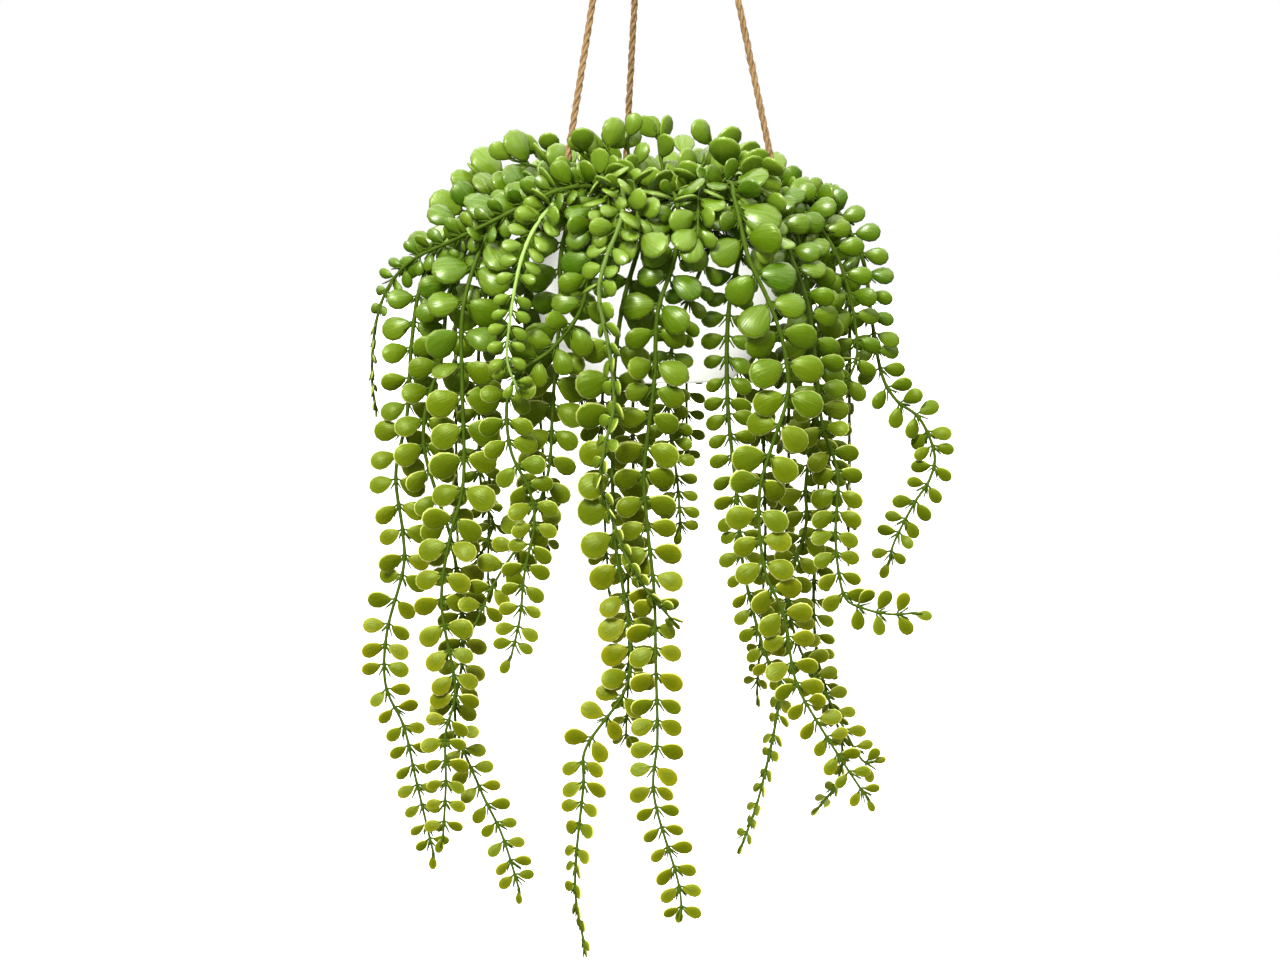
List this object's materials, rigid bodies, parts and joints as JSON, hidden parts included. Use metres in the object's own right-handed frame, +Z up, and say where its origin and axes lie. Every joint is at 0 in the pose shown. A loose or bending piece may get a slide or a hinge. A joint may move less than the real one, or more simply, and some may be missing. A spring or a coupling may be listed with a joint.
{
  "type": "hanging potted dischidia",
  "caption": "Trailing plant with round fleshy leaves in a white pot, hung in a jute ring from three cords that meet in a knot and loop.",
  "frame": {"origin": "where a hook bears inside the top of the hanging loop, on the pot's axis", "axes": "+Z up, along the pot's axis; the picture's viewer looks along +Y, with +X to the right"},
  "size_m": [0.3449, 0.2254, 0.7806],
  "materials": {
    "pot": "satin white",
    "soil": "rough dark potting mix",
    "jute": "twisted natural fibre",
    "leaf": "satin green"
  },
  "bodies": {
    "root": {"pot": "pot", "rope_ring": "jute", "cord_right": "jute", "cord_left": "jute", "cord_back": "jute", "hanging_loop": "jute", "stem_front_far_left": "leaf", "stem_front_left_outer": "leaf", "stem_front_left_middle": "leaf", "stem_front_left_long": "leaf", "stem_front_left_inner": "leaf", "stem_front_pale_short": "leaf", "stem_front_left_arch": "leaf", "stem_front_left_sweep": "leaf", "stem_front_pale_long": "leaf", "stem_front_middle_long": "leaf", "stem_front_middle": "leaf", "stem_front_round_leaves": "leaf", "stem_front_right_thin": "leaf", "stem_front_right_long": "leaf", "stem_front_right_hook": "leaf", "stem_front_right_inner": "leaf", "stem_front_right_short": "leaf", "stem_front_right_tail": "leaf", "stem_front_far_right": "leaf", "stem_back_002": "leaf", "stem_back_017": "leaf", "stem_back_031": "leaf", "stem_back_045": "leaf", "stem_back_059": "leaf", "stem_back_073": "leaf", "stem_back_084": "leaf", "stem_back_095": "leaf", "stem_back_111": "leaf", "stem_back_124": "leaf", "stem_back_136": "leaf", "stem_back_149": "leaf", "stem_back_162": "leaf", "stem_back_184": "leaf", "stem_crown_left_high": "leaf", "stem_crown_left_stalk": "leaf", "stem_crown_left_low": "leaf", "stem_crown_left_end": "leaf", "stem_crown_left_front": "leaf", "stem_crown_cord_foot": "leaf", "stem_crown_middle_left": "leaf", "stem_crown_middle_tall": "leaf", "stem_crown_middle_back": "leaf", "stem_crown_right_tall": "leaf", "stem_crown_right_front": "leaf", "stem_crown_right_shoulder": "leaf", "stem_crown_front_right": "leaf", "stem_crown_back_right": "leaf", "stem_crown_back_middle": "leaf", "stem_crown_back_left": "leaf", "stem_crown_rim_left": "leaf", "stem_crown_rim_middle": "leaf", "stem_crown_rim_right": "leaf", "stem_crown_rim_end": "leaf", "potting_soil": "soil"}
  },
  "joints": []
}
